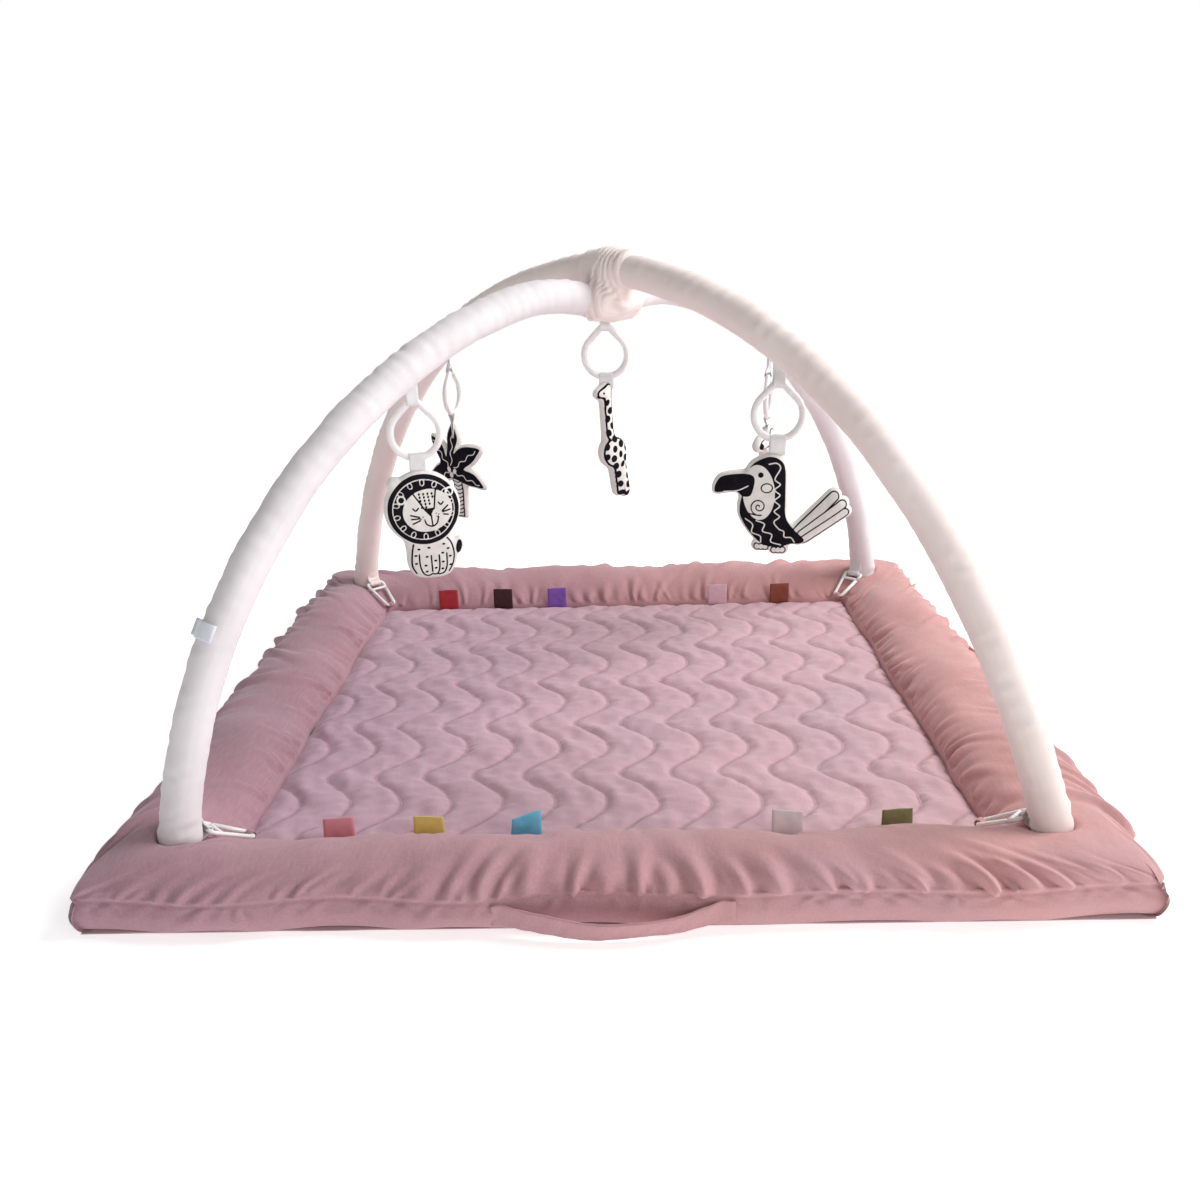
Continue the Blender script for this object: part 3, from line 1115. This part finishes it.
def draw_giraffe(x, z):
    inner = draw_quadruped(x, z, neck=((-4, -6), (0, -66), 6.5), head=((-12, -9), (9, 6), 14),
                           body=((8, -91), (21, 20), -12), ear=((0, -2), (4, 4)),
                           legs=[((10, -104), (17, -146), 6), ((21, -104), (30, -149), 6)])
    spots = [(-6, -22), (-1, -33), (-6, -44), (2, -54), (-4, -63), (5, -72), (-8, -82), (4, -86), (16, -80),
             (27, -88), (-9, -96), (2, -99), (14, -94), (24, -100), (6, -110), (18, -108), (29, -112),
             (11, -122), (28, -126), (15, -136), (30, -139)]
    spot_ink = union(*[ellipse(x, z, place, (3.3 + (k % 3) * 0.9, 4.9), 20 * (k % 5) - 40)
                       for k, place in enumerate(spots)])
    hooves = dots(x, z, [(18, -151), (31, -154)], (8, 6))
    outline = np.abs(inner + 0.6) - 1.1
    haunch = strokes(x, z, [[(-10, -76), (0, -73), (12, -71), (24, -76), (31, -86)]], 1.0)
    eye = ellipse(x, z, (-12, -9), (1.6, 1.6))
    muzzle = strokes(x, z, [[(-21, -13), (-18, -15), (-15, -15)]], 0.7)
    ink = union(np.maximum(union(spot_ink, hooves, haunch), inner + 0.6), outline, eye, muzzle)
    return inner - 1.8, ink


def draw_zebra(x, z):
    inner = draw_quadruped(x, z, neck=((2, -6), (-2, -62), 10), head=((-18, -17), (16, 8.5), 24),
                           body=((4, -78), (30, 19), 0), ear=((-2, -4), (4, 6)),
                           legs=[((-16, -86), (-19, -124), 7.5), ((24, -86), (26, -124), 7.5)])
    stripes = [[(-12, -28 - 9 * k), (0, -26 - 9 * k), (13, -30 - 9 * k)] for k in range(4)]
    stripes += [[(-20 + 9 * k, -58), (-17 + 9 * k, -74), (-21 + 9 * k, -98)] for k in range(6)]
    for leg in (-18, 25):
        stripes += [[(leg - 8, height), (leg + 8, height - 3)] for height in (-101, -109, -117)]
    ink = np.maximum(strokes(x, z, stripes, 1.6), inner + 1.0)
    hooves = dots(x, z, [(-19, -130), (26, -130)], (8, 6))
    muzzle = ellipse(x, z, (-30, -23), (7, 7))
    eye = ellipse(x, z, (-17, -12), (1.7, 1.7))
    dark_ends = np.maximum(union(hooves, muzzle), inner + 0.6)
    return inner - 3.5, union(ink, dark_ends, eye, np.abs(inner + 1.2) - 0.8)


DRAWINGS = {"lion": draw_lion, "palm": draw_palm, "giraffe": draw_giraffe, "toucan": draw_toucan,
            "zebra": draw_zebra}
# the toys' field of drawing in millimetres: left, right, bottom, top
CANVAS = {"lion": (-50, 56, -134, 8), "palm": (-64, 62, -160, 14), "giraffe": (-40, 46, -172, 8),
          "toucan": (-82, 92, -128, 4), "zebra": (-48, 50, -142, 8)}


INFLATE_LOOPS = 2600           # enough for the membrane to settle


def inflate(inside, cell):
    """The height of cloth blown up over a flat shape: the square root of a membrane's sag."""
    sag = np.zeros(inside.shape)
    load = cell * cell
    for _ in range(INFLATE_LOOPS):
        neighbours = np.roll(sag, 1, 0) + np.roll(sag, -1, 0) + np.roll(sag, 1, 1) + np.roll(sag, -1, 1)
        sag = np.where(inside, (neighbours + load) / 4, 0)
    return np.sqrt(sag)


# in millimetres, like the drawings
PLUSH_CELL = 1.1
PLUSH_DEPTH = 15               # how far a very plump face could stand out
HALF_STRIP = 2.6               # half the width of the cloth strip between the two faces
STRIP_BULGE = 0.9
UNPRINTED = 5.0                # an ink distance that is well off any print


def plush_height(x, z, inside, plump, seed):
    """How far a plush toy's face stands out, with puckers near its seam and shallow dimples."""
    height = inflate(inside, PLUSH_CELL)
    flat = np.stack([x, z], axis=-1)
    puckers = 1 + 0.10 * ripple(flat, 9, seed) * np.exp(-height / 5)
    dimples = 0.35 * ripple(flat, 16, seed + 1) * np.clip(height / 6, 0, 1)
    return PLUSH_DEPTH * plump * np.tanh(1.22 * height * puckers / PLUSH_DEPTH) + dimples


def grid_cells(kept, inside):
    """The grid's cells that the shape covers, each as the grid places of its corners."""
    square = [(0, 0), (0, 1), (1, 1), (1, 0)]
    rows, columns = kept.shape
    cells = []
    for i in range(rows - 1):
        for j in range(columns - 1):
            places = [(i + di, j + dj) for di, dj in square if kept[i + di, j + dj]]
            if len(places) >= 3 and any(inside[place] for place in places):
                cells.append(places)
    return cells


def plush_mesh(draw, canvas, plump, seed):
    """A two-sided stuffed shape with a cloth strip round its edge, from a drawing, in millimetres.
    Returns the vertices as (across, through, up), the faces and the ink of each vertex."""
    left, right, bottom, top = canvas
    x, z = np.meshgrid(np.arange(left, right, PLUSH_CELL), np.arange(bottom, top, PLUSH_CELL))
    field, ink = draw(x, z)
    slope_z, slope_x = np.gradient(field, PLUSH_CELL)
    steep = np.maximum(slope_x ** 2 + slope_z ** 2, 0.2)
    snapped = np.abs(field) < 0.5 * PLUSH_CELL * np.sqrt(steep)
    kept = (field < 0) | snapped
    inside = kept & ~snapped
    edge_x = np.where(snapped, x - field * slope_x / steep, x)
    edge_z = np.where(snapped, z - field * slope_z / steep, z)
    depth = HALF_STRIP + plush_height(x, z, inside, plump, seed)

    cells = grid_cells(kept, inside)
    used = sorted({place for places in cells for place in places})
    number = {place: k for k, place in enumerate(used)}
    count = len(used)
    index = tuple(np.array(used).T)
    front = np.stack([edge_x[index], -depth[index], edge_z[index]], axis=-1)
    back = np.stack([edge_x[index], depth[index], edge_z[index]], axis=-1)
    faces = []
    edges = set()
    for places in cells:
        loop = [number[place] for place in places]
        faces.append(loop)
        faces.append([k + count for k in reversed(loop)])
        edges.update(zip(loop, loop[1:] + loop[:1]))

    rim = sorted(edge for edge in edges if edge[::-1] not in edges)
    outward = np.stack([slope_x[index], slope_z[index]], axis=-1)
    outward /= np.maximum(np.linalg.norm(outward, axis=1, keepdims=True), 1e-6)
    strip = sorted({k for edge in rim for k in edge})
    strip_number = {k: 2 * count + place for place, k in enumerate(strip)}
    middles = np.zeros((len(strip), 3))
    middles[:, 0::2] = front[strip][:, 0::2] + STRIP_BULGE * outward[strip]
    for a, b in rim:
        faces.append([b, a, strip_number[a], strip_number[b]])
        faces.append([strip_number[b], strip_number[a], a + count, b + count])
    values = np.concatenate([ink[index], ink[index], np.full(len(strip), UNPRINTED)])
    return np.vstack([front, back, middles]), faces, values


def make_toy(toy, pivot, top_z, toy_turn, plump, seed):
    vertices, faces, ink = plush_mesh(DRAWINGS[toy], CANVAS[toy], plump, seed)
    angle = math.radians(toy_turn)
    across = np.array((math.cos(angle), math.sin(angle), 0.0))
    through = np.array((-math.sin(angle), math.cos(angle), 0.0))
    top = np.array((pivot[0], pivot[1], top_z))
    placed = top + MM * (vertices[:, :1] * across + vertices[:, 1:2] * through + vertices[:, 2:] * UP)
    plush = make_object("plush_" + toy, placed, faces, TOY_PRINT, {"ink": ink})
    attach(plush, "toy_" + toy, "toy_print", toy)


def make_hanging_toys():
    for toy, (ring_turn, toy_turn, sewn, plump, seed) in HANGING.items():
        pivot = pivots["ring_" + toy + "_swing"]
        angle = math.radians(ring_turn)
        along = np.array((math.cos(angle), math.sin(angle), 0.0))
        top_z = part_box("strap_" + toy)[0].z - 0.0004
        make_ring(toy, pivot, along)
        make_hanger(toy, pivot, along)
        make_strap(toy, pivot, along, top_z - sewn)
        make_toy(toy, pivot, top_z, toy_turn, plump, seed)


# ---------------------------------------------------------------- stage
FLOOR_RADIUS = 3.2
# each lamp: its place, what it points at, its width and its power
LAMPS = {
    "key": ((2.2, 0.4, 2.6), (0, 0, 0.1), 1.6, 92),
    "front": ((1.9, -2.6, 1.5), (0.2, 0, 0.3), 1.6, 26),
}
CAMERA_PLACE = Vector((0.015, -1.490, 0.661))
CAMERA_DOWN, CAMERA_YAW, CAMERA_ROLL = 0.319, -0.021, -0.027      # in radians
CAMERA_LENS = 32.79


def make_stage():
    """A plain pale floor, soft light and the camera."""
    scene = bpy.context.scene
    scene.view_settings.view_transform = "Standard"
    world = bpy.data.worlds.new("studio")
    world.use_nodes = True
    light_the_room(world)
    scene.world = world
    floor_material = start_material("floor", 0.9, Emission_Color=(1, 1, 1, 1), Emission_Strength=0.55)
    speckle = noise_value(floor_material, 3, 2.0)
    finish_material(floor_material, mix_colours(floor_material, speckle, (0.93,) * 3, (0.95,) * 3))
    turns = [math.radians(degrees) for degrees in range(0, 360, 3)]
    rim = [(FLOOR_RADIUS * math.cos(turn), FLOOR_RADIUS * math.sin(turn), 0) for turn in turns]
    mesh = bpy.data.meshes.new("floor")
    mesh.from_pydata(rim, [], [list(range(len(rim)))])
    mesh.materials.append(floor_material)
    floor = bpy.data.objects.new("floor", mesh)
    scene.collection.objects.link(floor)
    floor.location.z = -0.0002
    for name, (place, aim, width, power) in LAMPS.items():
        lamp = bpy.data.lights.new(name, "AREA")
        lamp.energy = power
        lamp.size = width
        light = bpy.data.objects.new(name, lamp)
        light.location = place
        light.rotation_euler = (Vector(aim) - Vector(place)).to_track_quat("-Z", "Y").to_euler()
        scene.collection.objects.link(light)
    place_camera(scene)


def light_the_room(world):
    """White light from the back and the sides, low down; dimmer from above and from the front left."""
    place = add_node(world, "TexCoord").outputs["Generated"]
    x, y, z = add_node(world, "SeparateXYZ", {0: place}).outputs
    low_down = remap(world, z, 0.35, 0.65, 1.0, 0.36, "SMOOTHSTEP")
    behind = remap(world, y, -0.35, 0.20, 0.0, 1.0, "SMOOTHSTEP")
    sideways = remap(world, x, -0.9, 0.9, 0.25, 0.60, "SMOOTHSTEP")
    back_light = calculate(world, "MULTIPLY", behind, low_down)
    side_light = calculate(world, "MULTIPLY", sideways, low_down)
    background = world.node_tree.nodes["Background"]
    background.inputs["Color"].default_value = (1, 1, 1, 1)
    strength = calculate(world, "MAXIMUM", back_light, side_light)
    world.node_tree.links.new(strength, background.inputs["Strength"])


def place_camera(scene):
    """Standing in front of the mat, looking down at it, rolled a little."""
    down, yaw, roll = CAMERA_DOWN, CAMERA_YAW, CAMERA_ROLL
    ahead = Vector((math.sin(yaw) * math.cos(down), math.cos(yaw) * math.cos(down), -math.sin(down)))
    right = Vector((math.cos(yaw), -math.sin(yaw), 0))
    up = right.cross(ahead)
    rolled_right = math.cos(roll) * right + math.sin(roll) * up
    rolled_up = -math.sin(roll) * right + math.cos(roll) * up
    axes = Matrix((rolled_right, rolled_up, -ahead)).transposed().to_4x4()
    axes.translation = CAMERA_PLACE
    data = bpy.data.cameras.new("camera")
    data.sensor_width = 36
    data.lens = CAMERA_LENS
    camera = bpy.data.objects.new("camera", data)
    camera.matrix_world = axes
    scene.collection.objects.link(camera)
    scene.camera = camera


# ---------------------------------------------------------------- whole object
def main():
    make_bolsters()
    make_quilt()
    make_base_sheet()
    make_tags()
    make_handle("front_handle", 0, np.zeros(3))
    make_handle("right_handle", 90, np.array((0.0, 0.09, 0.0)))
    make_sleeve("lower", LOWER_LINE, LOWER_SHAPE, 101)
    make_sleeve("upper", UPPER_LINE, UPPER_SHAPE, 105)
    make_crossing_wrap()
    make_sleeve_label()
    for corner, (sx, sy) in CORNERS.items():
        outward = unit(np.array((sx, sy, 0.0)))
        make_clip(corner, outward)
        make_corner_loop(corner, outward)
    make_hanging_toys()
    for name, node in nodes.items():
        if "_rod_" in name:
            node.data.materials.clear()
            node.data.materials.append(FIBREGLASS)
    make_stage()


main()
